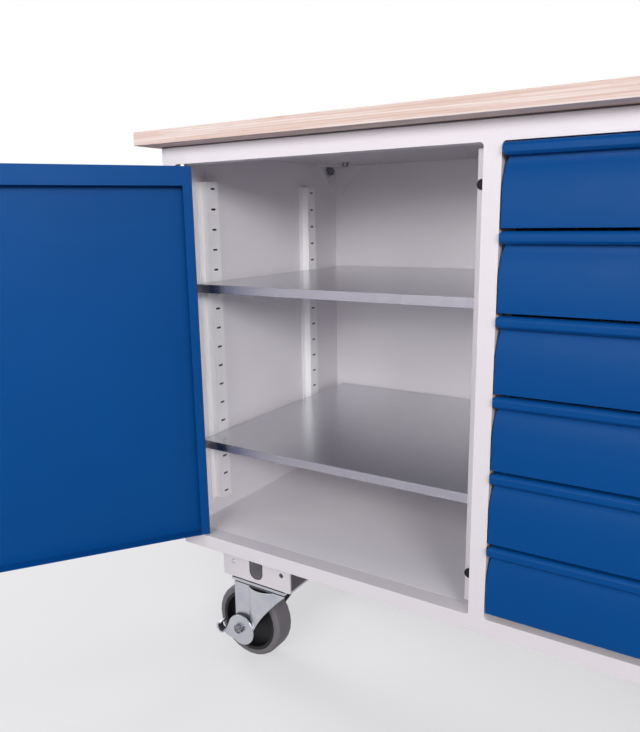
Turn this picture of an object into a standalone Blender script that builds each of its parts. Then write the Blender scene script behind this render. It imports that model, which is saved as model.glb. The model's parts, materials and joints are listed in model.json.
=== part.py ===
"""Mobile workbench: a sheet steel cabinet with a cupboard and a column of drawers under a plywood top,
on two braked swivel castors and two fixed castors. Metres, +Z up, front towards -Y.
The origin is the middle of the worktop's upper face."""

import math

import bmesh
import bpy
from mathutils import Matrix, Vector

# Fits and sheet thicknesses
GAP = 0.0003
SHEET = 0.0015
BOX_SHEET = 0.0012
DOOR_SHEET = 0.0012
FRONT_SHEET = 0.0015

# Front frame, with a cupboard opening on the left and a drawer opening on the right
SIDE_STILE_W = 0.022
MID_STILE_W = 0.020
TOP_RAIL_H = 0.024
BOTTOM_RAIL_H = 0.021
CUPBOARD_W = 0.442
DRAWER_W = 0.459
OPENING_R = 0.004
BODY_D = 0.465

# Worktop
TOP_T = 0.018
TOP_EDGE_R = 0.0015
OVERHANG_FRONT = 0.035
OVERHANG_SIDE = 0.0175

# Drawers
DRAWER_COUNT = 6
DRAWER_PITCH = 0.090
DRAWER_BOTTOM_GAP = 0.008
FRONT_SIDE_GAP = 0.002
FRONT_JOINT = 0.003
LIP_OUT = 0.006
LIP_H = 0.0135
LIP_R = 0.005
LIP_END_R = 0.004
RECESS_IN = 0.006
RECESS_H = 0.010
SWELL_H = 0.020
SWELL_OUT = 0.002
BOX_D = 0.420
BOX_H = 0.064
BOX_UP = 0.010
BOX_SIDE_GAP = 0.013
RAIL_UP = 0.028
RAIL_H = 0.012
RAIL_GAP = 0.002

# Runner racks
RACK_POST_W = 0.025
RACK_POST_IN = 0.030
RACK_END_GAP = 0.002
LEDGE_GAP = 0.001

# Door and its hinge, stop, buffers and lock
DOOR_T = 0.020
DOOR_GAP = 0.003
DOOR_SETBACK = 0.0005
DOOR_OPEN = math.radians(125)
HINGE_DEEP = 0.005
SWING_CLEAR = 0.0008
LIP_TOP = 0.026
LIP_HINGE = 0.013
LIP_FREE = 0.040
PIN_R = 0.003
PIN_DEEP = 0.010
COLLAR_R = 0.0045
STOP_W = 0.014
BUFFER_R = 0.006
BUFFER_T = 0.003
BUFFER_IN = 0.008
BUFFER_END = 0.042
LOCK_IN = 0.026
KNOB_R = 0.014
KNOB_H = 0.016
SPINDLE_R = 0.007
CAM_T = 0.002
CAM_W = 0.014
CAM_CLEAR = 0.0008
CAM_BITE = 0.010

# Shelves and the slotted standards that carry them
SHELF_SET = 0.0055
SHELF_BACK_GAP = 0.002
SHELF_SIDE_GAP = 0.002
SHELF_LIP_H = 0.0125
SHELF_SHEET = 0.0015
STANDARD_T = 0.0015
STANDARD_DEEP = 0.0135
STANDARD_FACE = 0.024
STANDARD_FLANGE = 0.009
STANDARD_FRONT_Y = 0.085
STANDARD_REAR_Y = 0.3555
STANDARD_END = 0.010
SLOT_PITCH = 0.030
SLOT_FIRST = 0.030
SLOT_LAST_MIN = 0.030
SLOT_W = 0.009
SLOT_H = 0.003
UPPER_SHELF_SLOT = 5
LOWER_SHELF_SLOT_FROM_END = 3
CLIP_OUT = 0.009
CLIP_W = 0.010
CLIP_H = 0.010

# Corner brackets under the worktop
CORNER_LEG = 0.066
CORNER_T = 0.002
BOLT_R = 0.0065
BOLT_H = 0.0055
BOLT_FROM_BACK = 0.030
BOLT_DOWN = 0.0105

# Castor brackets under the cabinet
BRACKET_L = 0.131
BRACKET_W = 0.090
BRACKET_T = 0.003
BRACKET_DROP = 0.0685
BRACKET_SIDE = 0.033
BRACKET_SET = 0.050
BRACKET_HOLE_W = 0.026
BRACKET_HOLE_H = 0.052
BRACKET_HOLE_R = 0.012
BRACKET_HOLE_UP = 0.006

# Castors
CASTOR_H = 0.155
PLATE_L = 0.105
PLATE_W = 0.085
PLATE_T = 0.0045
SEAT_L = 0.098
SEAT_W = 0.078
SEAT_H = 0.0035
RACE_R = 0.030
RACE_H = 0.007
KING_R = 0.006
KING_NUT_R = 0.010
KING_NUT_H = 0.006
WHEEL_R = 0.0625
WHEEL_W = 0.038
TYRE_T = 0.0105
TREAD_R = 0.006
HUB_WEB = 0.012
BOSS_R = 0.015
TRAIL = 0.040
FORK_IN = 0.032
FORK_T = 0.003
FORK_BULGE_R = 0.043
FORK_BULGE_DOWN = 0.0008
FORK_FRONT = 0.048
LEG_REAR = 0.0135
LEG_W = 0.039
LEG_HOLLOW = 0.009
FIXED_LEG_W = 0.040
AXLE_R = 0.005
AXLE_HEAD_R = 0.0085
AXLE_HEAD_H = 0.006
SPACER_R = 0.009
LEVER_T = 0.0025
LEVER_R = 0.0215
LEVER_STANDOFF = 0.005
LEVER_REACH = 0.040
LEVER_FALL = 0.013
LEVER_ROLL_R = 0.008
LEVER_ROLL_BORE = 0.0055
LEVER_ROLL_L = 0.006

# Places that follow from the sizes above
OPENING_H = DRAWER_COUNT * DRAWER_PITCH + DRAWER_BOTTOM_GAP
BODY_W = 2 * SIDE_STILE_W + MID_STILE_W + CUPBOARD_W + DRAWER_W
TOP_W = BODY_W + 2 * OVERHANG_SIDE
TOP_D = BODY_D + OVERHANG_FRONT
LEFT = -BODY_W / 2
RIGHT = BODY_W / 2
FRONT = -TOP_D / 2 + OVERHANG_FRONT
BACK = FRONT + BODY_D
ROOF = -TOP_T - GAP
MOUTH_TOP = ROOF - TOP_RAIL_H
MOUTH_LOW = MOUTH_TOP - OPENING_H
FOOT = MOUTH_LOW - BOTTOM_RAIL_H
CUP_LEFT = LEFT + SIDE_STILE_W
CUP_RIGHT = CUP_LEFT + CUPBOARD_W
DRAWERS_LEFT = CUP_RIGHT + MID_STILE_W
DRAWERS_RIGHT = DRAWERS_LEFT + DRAWER_W
PARTITION = CUP_RIGHT + MID_STILE_W / 2
INNER_LEFT = LEFT + SHEET + GAP
INNER_RIGHT = RIGHT - SHEET - GAP
INNER_BACK = BACK - SHEET - GAP
STOP_Y = FRONT + DOOR_SETBACK + DOOR_T + BUFFER_T + 2 * GAP
RIM_BACK = STOP_Y + SHEET
CEILING = ROOF - SHEET - GAP
BRACKET_LOW = FOOT - BRACKET_DROP

ROUND = 28
SMALL_ROUND = 20
ARC_STEPS = 5

PARTS = None
CUTTERS = None


def clear_scene():
    """Empties the file and makes one collection for the pieces and one for the cutters."""
    global PARTS, CUTTERS
    for old in list(bpy.data.objects):
        bpy.data.objects.remove(old)
    PARTS = bpy.data.collections.new("mobile_workbench")
    CUTTERS = bpy.data.collections.new("cutters")
    for collection in (PARTS, CUTTERS):
        bpy.context.scene.collection.children.link(collection)


def finish(name, hex_colour, roughness, metallic):
    """A surface finish whose colour is given as a screen value."""
    channels = [int(hex_colour[i:i + 2], 16) / 255 for i in (1, 3, 5)]
    linear = [c / 12.92 if c <= 0.04045 else ((c + 0.055) / 1.055) ** 2.4 for c in channels]
    made = bpy.data.materials.new(name)
    made.use_nodes = True
    shader = made.node_tree.nodes["Principled BSDF"]
    shader.inputs["Base Color"].default_value = (*linear, 1)
    shader.inputs["Roughness"].default_value = roughness
    shader.inputs["Metallic"].default_value = metallic
    return made


def axis_point(name, place, turn=0.0):
    """An empty on a joint's axis, which carries the pieces that move there."""
    empty = bpy.data.objects.new(name, None)
    empty.location = place
    empty.rotation_euler = (0, 0, turn)
    PARTS.objects.link(empty)
    return empty


def piece(name, mesh, look, parent=None):
    """One named piece of the bench."""
    made = bpy.data.objects.new(name, mesh)
    made.data.materials.append(look)
    made.parent = parent
    PARTS.objects.link(made)
    return made


def combine(target, mesh, operation):
    """A Boolean of the target with a helper shape that stays out of the render."""
    helper = bpy.data.objects.new(f"{target.name}_{operation.lower()}_{len(target.modifiers)}", mesh)
    helper.parent = target.parent
    helper.hide_render = True
    helper.display_type = "WIRE"
    CUTTERS.objects.link(helper)
    boolean = target.modifiers.new(helper.name, "BOOLEAN")
    boolean.operation = operation
    boolean.object = helper
    return helper


def cut(target, mesh):
    return combine(target, mesh, "DIFFERENCE")


def join(target, mesh):
    return combine(target, mesh, "UNION")


def smooth(target, angle=35):
    target.data.shade_smooth()
    target.data.set_sharp_from_angle(angle=math.radians(angle))


def as_mesh(work, name):
    mesh = bpy.data.meshes.new(name)
    work.to_mesh(mesh)
    work.free()
    return mesh


def box(low, high, along=None, radius=0.0):
    """A block between two corners, with the edges along one axis rounded."""
    low, high = Vector(low), Vector(high)
    size = high - low
    work = bmesh.new()
    bmesh.ops.create_cube(work, matrix=Matrix.Translation((low + high) / 2) @ Matrix.Diagonal((*size, 1)))
    if along is not None:
        edges = [e for e in work.edges if abs((e.verts[0].co - e.verts[1].co)[along]) > size[along] / 2]
        bmesh.ops.bevel(work, geom=edges, offset=radius, segments=ARC_STEPS, affect="EDGES", profile=0.5)
    return as_mesh(work, "block")


def rod(start, end, radius, segments=ROUND):
    """A round bar, or a hexagon with six segments, between two points."""
    start, end = Vector(start), Vector(end)
    turn = (end - start).to_track_quat("Z", "Y").to_matrix().to_4x4()
    work = bmesh.new()
    bmesh.ops.create_cone(work, cap_ends=True, segments=segments, radius1=radius, radius2=radius,
                          depth=(end - start).length, matrix=Matrix.Translation((start + end) / 2) @ turn)
    return as_mesh(work, "bar")


def tray(low, high, open_side):
    """A thin-walled box without its top or its bottom face: the object still needs its Solidify."""
    work = bmesh.new()
    centre = (Vector(low) + Vector(high)) / 2
    size = Vector(high) - Vector(low)
    bmesh.ops.create_cube(work, matrix=Matrix.Translation(centre) @ Matrix.Diagonal((*size, 1)))
    lid = [f for f in work.faces if f.normal.z * open_side > 0.5]
    bmesh.ops.delete(work, geom=lid, context="FACES_ONLY")
    return as_mesh(work, "tray")


def thicken(target, wall):
    """Gives a folded sheet its thickness, on the side that its normals point away from."""
    solid = target.modifiers.new("sheet_thickness", "SOLIDIFY")
    solid.thickness = wall
    solid.offset = -1
    solid.use_even_offset = True
    return target


def folded_sheet(section, travel):
    """An open section, as points in order, drawn out along a straight line."""
    work = bmesh.new()
    points = [work.verts.new(p) for p in section]
    edges = [work.edges.new(pair) for pair in zip(points, points[1:])]
    drawn = bmesh.ops.extrude_edge_only(work, edges=edges)["geom"]
    bmesh.ops.translate(work, vec=travel, verts=[g for g in drawn if isinstance(g, bmesh.types.BMVert)])
    return as_mesh(work, "sheet")


def arc(centre, radius, first, last, steps=ARC_STEPS):
    """Points on a circle, with angles in degrees."""
    angles = [math.radians(first + (last - first) * i / steps) for i in range(steps + 1)]
    return [(centre[0] + radius * math.cos(a), centre[1] + radius * math.sin(a)) for a in angles]


def plate(outline, y_front, thickness):
    """A flat outline in X and Z, of the given thickness from its front face back."""
    curve = bpy.data.curves.new("outline", "CURVE")
    curve.dimensions = "2D"
    curve.fill_mode = "BOTH"
    curve.extrude = thickness / 2
    spline = curve.splines.new("POLY")
    spline.points.add(len(outline) - 1)
    for point, (x, z) in zip(spline.points, outline):
        point.co = (x, z, 0, 1)
    spline.use_cyclic_u = True
    drawn = bpy.data.objects.new("outline", curve)
    bpy.context.scene.collection.objects.link(drawn)
    mesh = bpy.data.meshes.new_from_object(drawn.evaluated_get(bpy.context.evaluated_depsgraph_get()))
    bpy.data.objects.remove(drawn)
    work = bmesh.new()
    work.from_mesh(mesh)
    bmesh.ops.remove_doubles(work, verts=work.verts, dist=1e-6)
    stand = Matrix.Translation((0, y_front + thickness / 2, 0)) @ Matrix.Rotation(math.radians(90), 4, "X")
    bmesh.ops.transform(work, matrix=stand, verts=work.verts)
    bmesh.ops.recalc_face_normals(work, faces=work.faces)
    return as_mesh(work, "plate")


def turned(name, profile, look, parent):
    """A ring turned about Y: the profile holds radius and Y, and runs down its outer side."""
    work = bmesh.new()
    points = [work.verts.new((radius, y, 0)) for radius, y in profile]
    for pair in zip(points, points[1:] + points[:1]):
        work.edges.new(pair)
    ring = piece(name, as_mesh(work, "profile"), look, parent)
    turning = ring.modifiers.new("turning", "SCREW")
    turning.axis = "Y"
    turning.steps = ROUND
    turning.render_steps = ROUND
    turning.use_smooth_shade = True
    return ring


def moved(mesh, place):
    mesh.transform(Matrix.Translation(place))
    return mesh


def cabinet(grey):
    """The carcass: flat panels round one pressed front frame with two openings."""
    frame = piece("front_frame", box((LEFT, FRONT, FOOT), (RIGHT, FRONT + SHEET, ROOF)), grey)
    openings = ((CUP_LEFT, CUP_RIGHT), (DRAWERS_LEFT, DRAWERS_RIGHT))
    for x0, x1 in openings:
        join(frame, box((x0 - SHEET, FRONT + SHEET / 2, MOUTH_LOW - SHEET),
                        (x1 + SHEET, RIM_BACK, MOUTH_TOP + SHEET), 1, OPENING_R + SHEET))
    for x0, x1 in openings:
        cut(frame, box((x0, FRONT - SHEET, MOUTH_LOW), (x1, RIM_BACK + SHEET, MOUTH_TOP), 1, OPENING_R))
    join(frame, box((CUP_RIGHT - STOP_W, STOP_Y, MOUTH_LOW + OPENING_R),
                    (CUP_RIGHT + SHEET / 2, RIM_BACK, MOUTH_TOP - OPENING_R)))
    behind = FRONT + SHEET + GAP
    piece("left_side_panel", box((LEFT, behind, FOOT), (LEFT + SHEET, BACK, ROOF)), grey)
    piece("right_side_panel", box((RIGHT - SHEET, behind, FOOT), (RIGHT, BACK, ROOF)), grey)
    piece("back_panel", box((INNER_LEFT, BACK - SHEET, FOOT), (INNER_RIGHT, BACK, ROOF)), grey)
    piece("top_panel", box((INNER_LEFT, behind, ROOF - SHEET), (INNER_RIGHT, INNER_BACK, ROOF)), grey)
    piece("base_panel", box((INNER_LEFT, RIM_BACK + GAP, MOUTH_LOW - SHEET),
                            (INNER_RIGHT, INNER_BACK, MOUTH_LOW)), grey)
    piece("partition_panel", box((PARTITION - SHEET / 2, RIM_BACK + GAP, MOUTH_LOW + GAP),
                                 (PARTITION + SHEET / 2, INNER_BACK, CEILING)), grey)


def corner_bracket(name, corner_x, inward, steel):
    """A three-way pressed corner that bolts the side, the back and the worktop together."""
    far = (corner_x + inward * CORNER_LEG, INNER_BACK - CORNER_LEG, CEILING - CORNER_LEG)
    near = (corner_x, INNER_BACK, CEILING)
    low = [min(a, b) for a, b in zip(near, far)]
    high = [max(a, b) for a, b in zip(near, far)]
    bracket = piece(name, box(low, high), steel)
    inside = (corner_x + inward * CORNER_T, INNER_BACK - CORNER_T, CEILING - CORNER_T)
    beyond = (corner_x + inward * 2 * CORNER_LEG, INNER_BACK - 2 * CORNER_LEG, CEILING - 2 * CORNER_LEG)
    cut(bracket, box([min(a, b) for a, b in zip(inside, beyond)],
                     [max(a, b) for a, b in zip(inside, beyond)]))
    slope = Vector((inward, -1, -1)).normalized()
    turn = slope.to_track_quat("Z", "Y").to_matrix().to_4x4()
    wedge = box((-2 * CORNER_LEG, -2 * CORNER_LEG, 0), (2 * CORNER_LEG, 2 * CORNER_LEG, 2 * CORNER_LEG))
    foot = Vector(near) + slope * CORNER_LEG / math.sqrt(3)
    wedge.transform(Matrix.Translation(foot) @ turn)
    cut(bracket, wedge)
    side = Vector((corner_x + inward * CORNER_T / 2, INNER_BACK - BOLT_FROM_BACK, CEILING - BOLT_DOWN))
    join(bracket, rod(side, side + Vector((inward * (BOLT_H + CORNER_T / 2), 0, 0)), BOLT_R, 6))


def worktop(wood):
    """A plywood board that lies on the cabinet and overhangs it at the front and the sides."""
    top = piece("worktop", box((-TOP_W / 2, -TOP_D / 2, -TOP_T), (TOP_W / 2, TOP_D / 2, 0)), wood)
    edge = top.modifiers.new("eased_edges", "BEVEL")
    edge.width = TOP_EDGE_R
    edge.segments = 2


def slot_count():
    return int((OPENING_H - SLOT_FIRST - SLOT_LAST_MIN) / SLOT_PITCH) + 1


def slot_height(number):
    """Height of a slot's middle, counted from zero at the top."""
    return MOUTH_TOP - SLOT_FIRST - number * SLOT_PITCH


def shelf_slots():
    return UPPER_SHELF_SLOT, slot_count() - 1 - LOWER_SHELF_SLOT_FROM_END


def shelf_standard(name, wall_x, inward, middle_y, steel):
    """A slotted hat-section upright on a cupboard wall, with the clips that hold the shelves."""
    half = STANDARD_FACE / 2
    raised = wall_x + inward * STANDARD_DEEP
    top = slot_height(0) + STANDARD_END
    low = slot_height(slot_count() - 1) - STANDARD_END
    flange = wall_x + inward * STANDARD_T
    section = [(flange, middle_y - half - STANDARD_FLANGE), (flange, middle_y - half),
               (raised, middle_y - half), (raised, middle_y + half),
               (flange, middle_y + half), (flange, middle_y + half + STANDARD_FLANGE)]
    if inward > 0:
        section.reverse()
    upright = piece(name, folded_sheet([(x, y, low) for x, y in section], (0, 0, top - low)), steel)
    thicken(upright, STANDARD_T)
    slots = cut(upright, box((raised - 2 * STANDARD_T, middle_y - SLOT_W / 2, slot_height(0) - SLOT_H / 2),
                             (raised + 2 * STANDARD_T, middle_y + SLOT_W / 2, slot_height(0) + SLOT_H / 2)))
    rows = slots.modifiers.new("slot_rows", "ARRAY")
    rows.count = slot_count()
    rows.use_relative_offset = False
    rows.use_constant_offset = True
    rows.constant_offset_displace = (0, 0, -SLOT_PITCH)
    for number in shelf_slots():
        ledge = slot_height(number)
        ends = sorted((raised - inward * STANDARD_T / 2, raised + inward * CLIP_OUT))
        join(upright, box((ends[0], middle_y - CLIP_W / 2, ledge - CLIP_H),
                          (ends[1], middle_y + CLIP_W / 2, ledge)))


def shelves(grey, zinc):
    """Two folded shelves hung between four slotted standards."""
    left_wall = INNER_LEFT
    right_wall = PARTITION - SHEET / 2 - GAP
    for side, wall_x, inward in (("left", left_wall, 1), ("right", right_wall, -1)):
        for place, y in (("front", STANDARD_FRONT_Y), ("rear", STANDARD_REAR_Y)):
            shelf_standard(f"shelf_standard_{side}_{place}", wall_x, inward, FRONT + y, grey)
    reach = STANDARD_DEEP + SHELF_SIDE_GAP
    for name, number in zip(("upper_shelf", "lower_shelf"), shelf_slots()):
        low = slot_height(number) + GAP
        pan = tray((left_wall + reach, RIM_BACK + SHELF_SET, low),
                   (right_wall - reach, INNER_BACK - SHELF_BACK_GAP, low + SHELF_LIP_H), -1)
        thicken(piece(name, pan, zinc), SHELF_SHEET)


def hinge_in():
    """How far the hinge lies from the door's edge, for the open door to clear the stile beside it."""
    depth = HINGE_DEEP + DOOR_SETBACK
    reach = (HINGE_DEEP + SWING_CLEAR - depth * math.cos(DOOR_OPEN)) / math.sin(DOOR_OPEN)
    return max(reach - DOOR_GAP, PIN_R + 2 * DOOR_SHEET)


def door(blue, steel, rubber, black):
    """A pan door on two pivot pins, shown swung open, with its turn lock."""
    edge = hinge_in()
    hinge = Vector((CUP_LEFT + DOOR_GAP + edge, FRONT + DOOR_SETBACK + HINGE_DEEP, 0))
    axis = axis_point("door_axis", hinge, -DOOR_OPEN)
    x0 = -edge
    x1 = x0 + CUPBOARD_W - 2 * DOOR_GAP
    y0 = -HINGE_DEEP
    y1 = y0 + DOOR_T
    z0 = MOUTH_LOW + DOOR_GAP
    z1 = MOUTH_TOP - DOOR_GAP
    pan = piece("door_panel", box((x0, y0, z0), (x1, y1, z1), 2, DOOR_SHEET / 2), blue, axis)
    wall = DOOR_SHEET
    cut(pan, box((x0 + wall, y0 + wall, z0 + wall), (x1 - wall, y1 - wall, z1 - wall)))
    cut(pan, box((x0 + LIP_HINGE, y1 - 2 * wall, z0 + wall), (x1 - LIP_FREE, y1 + wall, z1 - LIP_TOP)))
    ends = (("top", MOUTH_TOP, -1), ("bottom", MOUTH_LOW, 1))
    for name, seat, into in ends:
        cut(pan, rod((0, 0, seat + into * DOOR_GAP - 2 * wall), (0, 0, seat + into * DOOR_GAP + 2 * wall),
                     PIN_R + GAP, SMALL_ROUND))
        start = hinge + Vector((0, 0, seat + into * GAP))
        collar_end = hinge + Vector((0, 0, seat + into * (DOOR_GAP - GAP)))
        pin = piece(f"hinge_pin_{name}", rod(start, collar_end, COLLAR_R, SMALL_ROUND), steel)
        tip = hinge + Vector((0, 0, seat + into * (DOOR_GAP + PIN_DEEP)))
        join(pin, rod(start.lerp(collar_end, 0.5), tip, PIN_R, SMALL_ROUND))
        smooth(pin)
        place = Vector((CUP_RIGHT - BUFFER_IN, STOP_Y - GAP, seat + into * BUFFER_END))
        disc = rod(place, place - Vector((0, BUFFER_T, 0)), BUFFER_R, SMALL_ROUND)
        smooth(piece(f"door_buffer_{name}", disc, rubber))
    lock_axis = axis_point("lock_axis", (x1 - LOCK_IN, y0, (z0 + z1) / 2))
    lock_axis.parent = axis
    bore = rod((0, -wall, 0), (0, DOOR_T + wall, 0), SPINDLE_R + GAP, SMALL_ROUND)
    cut(pan, moved(bore, lock_axis.location))
    cam_front = DOOR_T + BUFFER_T + 2 * GAP + SHEET + CAM_CLEAR
    lock = piece("door_lock", rod((0, -GAP, 0), (0, -KNOB_H, 0), KNOB_R, SMALL_ROUND), black, lock_axis)
    join(lock, rod((0, -KNOB_H / 2, 0), (0, cam_front + CAM_T / 2, 0), SPINDLE_R, SMALL_ROUND))
    cam_tip = LOCK_IN + DOOR_GAP - STOP_W + CAM_BITE
    outline = arc((0, 0), CAM_W / 2 + CAM_T, 0, 180) + [(-CAM_W / 2, -cam_tip), (CAM_W / 2, -cam_tip)]
    join(lock, plate(outline, cam_front, CAM_T))
    smooth(lock)


def front_section():
    """The drawer front's outer line in Y and Z from its top: handle lip, finger recess, swelling face."""
    lip_y = FRONT - LIP_OUT
    recess_y = FRONT + RECESS_IN
    face_y = FRONT - SWELL_OUT
    top = -FRONT_JOINT / 2
    under = top - LIP_H
    lip_top = [(lip_y + LIP_R - LIP_R * math.sin(a), top - LIP_R + LIP_R * math.cos(a))
               for a in (math.radians(90 * i / ARC_STEPS) for i in range(ARC_STEPS + 1))]
    curl = FRONT_SHEET * 2
    swell_low = under - RECESS_H - SWELL_H
    return ([(recess_y, top)] + lip_top + [(lip_y, under + curl), (lip_y + curl, under), (recess_y, under),
            (recess_y, under - RECESS_H), (face_y, swell_low), (face_y, FRONT_JOINT / 2 - DRAWER_PITCH)])


def round_lip_ends(sheet):
    """Takes the corners off both ends of the handle lip, in the view from the front."""
    top = -FRONT_JOINT / 2
    under = top - LIP_H
    middle = sum(v.co.x for v in sheet.vertices) / len(sheet.vertices)
    for v in sheet.vertices:
        near = max(min(top - v.co.z, v.co.z - under), 0)
        if v.co.z > under - GAP and near < LIP_END_R:
            inset = LIP_END_R - math.sqrt(LIP_END_R ** 2 - (LIP_END_R - near) ** 2)
            v.co.x += math.copysign(inset, middle - v.co.x)
    return sheet


def drawers(blue, grey):
    """Folded fronts with a continuous handle lip, each on a box with a rail along either side."""
    x0 = DRAWERS_LEFT + FRONT_SIDE_GAP
    x1 = DRAWERS_RIGHT - FRONT_SIDE_GAP
    box_x = (DRAWERS_LEFT + BOX_SIDE_GAP, DRAWERS_RIGHT - BOX_SIDE_GAP)
    box_y = (FRONT + RECESS_IN + FRONT_SHEET + GAP, FRONT + RECESS_IN + FRONT_SHEET + GAP + BOX_D)
    for number in range(1, DRAWER_COUNT + 1):
        top = MOUTH_TOP - (number - 1) * DRAWER_PITCH
        middle = axis_point(f"drawer_{number}_slide", ((x0 + x1) / 2, 0, top))
        section = [(x1 - middle.location.x, y, z) for y, z in front_section()]
        sheet = round_lip_ends(folded_sheet(section, (x0 - x1, 0, 0)))
        front = piece(f"drawer_front_{number}", sheet, blue, middle)
        thicken(front, FRONT_SHEET)
        low = BOX_UP - DRAWER_PITCH
        sides = [x - middle.location.x for x in box_x]
        pan = tray((sides[0], box_y[0], low), (sides[1], box_y[1], low + BOX_H), 1)
        body = piece(f"drawer_box_{number}", pan, grey, middle)
        thicken(body, BOX_SHEET)
        rail = BOX_SIDE_GAP - RAIL_GAP
        for side, out in ((sides[0], -1), (sides[1], 1)):
            ends = sorted((side - out * BOX_SHEET / 2, side + out * rail))
            join(body, box((ends[0], box_y[0], low + RAIL_UP), (ends[1], box_y[1], low + RAIL_UP + RAIL_H)))


def runner_rack(name, wall_x, opening_x, inward, grey):
    """Two posts on a cabinet wall with an angle runner for every drawer rail."""
    y0 = RIM_BACK + RACK_END_GAP
    y1 = INNER_BACK - RACK_END_GAP
    leg = opening_x + inward * (RAIL_GAP / 2 - SHEET)
    tip = opening_x + inward * (BOX_SIDE_GAP - LEDGE_GAP)
    spans = sorted((wall_x, leg + inward * SHEET / 2))
    posts = [box((spans[0], y, MOUTH_LOW + GAP), (spans[1], y + RACK_POST_W, CEILING))
             for y in (y0 + RACK_POST_IN, y1 - RACK_POST_IN - RACK_POST_W)]
    rack = piece(name, posts[0], grey)
    join(rack, posts[1])
    for number in range(DRAWER_COUNT):
        seat = MOUTH_TOP - (number + 1) * DRAWER_PITCH + BOX_UP + RAIL_UP - GAP
        legs = sorted((leg, leg + inward * SHEET))
        ledges = sorted((leg, tip))
        join(rack, box((legs[0], y0, seat - SHEET), (legs[1], y1, seat + RAIL_H)))
        join(rack, box((ledges[0], y0, seat - SHEET), (ledges[1], y1, seat)))


def castor_bracket(name, middle, steel):
    """A folded channel under the cabinet floor, with an access hole in its walls."""
    x, y = middle
    top = MOUTH_LOW - SHEET - GAP
    half = BRACKET_W / 2
    section = [(x + BRACKET_L / 2, y - half, top), (x + BRACKET_L / 2, y - half, BRACKET_LOW),
               (x + BRACKET_L / 2, y + half, BRACKET_LOW), (x + BRACKET_L / 2, y + half, top)]
    bracket = piece(name, folded_sheet(section, (-BRACKET_L, 0, 0)), steel)
    thicken(bracket, BRACKET_T)
    hole_low = BRACKET_LOW + BRACKET_HOLE_UP
    cut(bracket, box((x - BRACKET_HOLE_W / 2, y - BRACKET_W, hole_low),
                     (x + BRACKET_HOLE_W / 2, y + BRACKET_W, hole_low + BRACKET_HOLE_H), 1, BRACKET_HOLE_R))


def tyre_section():
    half = WHEEL_W / 2
    seat = WHEEL_R - TYRE_T
    crown = [(WHEEL_R - TREAD_R + r, half - TREAD_R + w) for w, r in arc((0, 0), TREAD_R, 0, 90, 3)]
    far_crown = [(r, -w) for r, w in reversed(crown)]
    return [(seat, half)] + crown + far_crown + [(seat, -half)]


def hub_section():
    half = WHEEL_W / 2 - GAP
    seat = WHEEL_R - TYRE_T - GAP
    rim = seat - TYRE_T / 2
    bore = AXLE_R + GAP
    boss = FORK_IN - GAP
    web = HUB_WEB / 2
    near = [(bore, boss), (BOSS_R, boss), (BOSS_R, web), (rim, web), (rim, half), (seat, half)]
    return near + [(r, -y) for r, y in reversed(near)]


def wheel(tag, carrier, place, grey_rubber, black):
    """A rubber tyre on a moulded hub, turning about its axle."""
    axle = axis_point(f"wheel_axis_{tag}", place)
    axle.parent = carrier
    turned(f"tyre_{tag}", tyre_section(), grey_rubber, axle)
    turned(f"hub_{tag}", hub_section(), black, axle)


def pressed_fork(name, outline, top, look, carrier):
    """A channel folded over the wheel and trimmed to its side outline."""
    outer = FORK_IN + FORK_T
    ends = (min(x for x, z in outline) - FORK_T, max(x for x, z in outline) + FORK_T)
    low = min(z for x, z in outline) - FORK_T
    fork = piece(name, box((ends[0], -outer, low), (ends[1], outer, top)), look, carrier)
    return fork, ends, low


def trim_fork(fork, outline, ends, low, top):
    """Hollows the channel and cuts its sides to the outline."""
    outer = FORK_IN + FORK_T
    cut(fork, box((ends[0] - FORK_T, -FORK_IN, low - FORK_T), (ends[1] + FORK_T, FORK_IN, top - FORK_T)))
    combine(fork, plate(outline, -2 * outer, 4 * outer), "INTERSECT")


def axle_bolt(name, carrier, place, nut_seat, zinc):
    """The bolt that a wheel turns on, with its head and nut outside the fork."""
    head_seat = FORK_IN + FORK_T + GAP
    half_nut = AXLE_HEAD_H / 2
    shank = rod((0, -nut_seat - half_nut, 0), (0, head_seat + half_nut, 0), AXLE_R, SMALL_ROUND)
    bolt = piece(name, moved(shank, place), zinc, carrier)
    for start, out in ((-nut_seat, -1), (head_seat, 1)):
        join(bolt, moved(rod((0, start, 0), (0, start + out * AXLE_HEAD_H, 0), AXLE_HEAD_R, 6), place))
    return bolt


def swivel_outline(crown, axle):
    """Side view of a swivel fork: a straight rear edge, a round foot and a hollow leading edge."""
    rear = axle.x - LEG_REAR
    foot = (rear + LEG_W / 2, axle.z)
    above = crown + FORK_T
    start = Vector((FORK_FRONT, crown))
    end = Vector((foot[0] + LEG_W / 2, axle.z))
    square = Vector((start.y - end.y, end.x - start.x)).normalized()
    bend = (start + end) / 2 - square * LEG_HOLLOW
    shares = [i / ARC_STEPS for i in range(ARC_STEPS)]
    lead = [start.lerp(bend, t).lerp(bend.lerp(end, t), t) for t in shares]
    return ([(rear, above), (FORK_FRONT, above)] + [(p.x, p.y) for p in lead]
            + arc(foot, LEG_W / 2, 0, -180, 2 * ARC_STEPS))


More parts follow.
